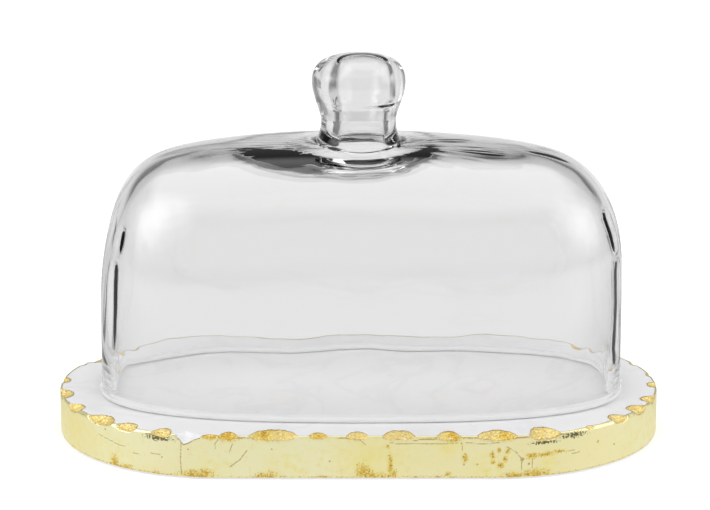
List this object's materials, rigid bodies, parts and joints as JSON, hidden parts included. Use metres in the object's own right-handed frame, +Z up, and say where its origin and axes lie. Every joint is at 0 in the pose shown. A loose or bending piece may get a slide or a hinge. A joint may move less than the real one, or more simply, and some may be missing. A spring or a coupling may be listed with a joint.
{
  "type": "butter dish",
  "caption": "Butter dish: a stone base with round ends and a gold-leafed edge, under a loose clear glass cover with a knob.",
  "frame": {"origin": "on the surface the dish stands on, midway between the four feet and under the knob", "axes": "+Z up, +X along the length of the base, +Y towards the back; the dish is the same seen from either long side"},
  "size_m": [0.216, 0.12, 0.1375],
  "materials": {
    "white_marble": "honed and sealed",
    "gold_leaf": "laid leaf, lightly rubbed and lacquered",
    "clear_glass": "hand blown, fire polished",
    "foot_rubber": "thin translucent soft pad"
  },
  "bodies": {
    "base": {"base_slab": "white_marble", "gold_leaf_band": "gold_leaf", "foot_front_left": "foot_rubber", "foot_front_right": "foot_rubber", "foot_back_left": "foot_rubber", "foot_back_right": "foot_rubber"},
    "cover": {"glass_cover": "clear_glass", "glass_knob": "clear_glass"}
  },
  "joints": [
    {"name": "cover_lift", "type": "slide", "parent": "base", "child": "cover", "axis": [0, 0, 1], "range_m": [0, 0.15]}
  ]
}
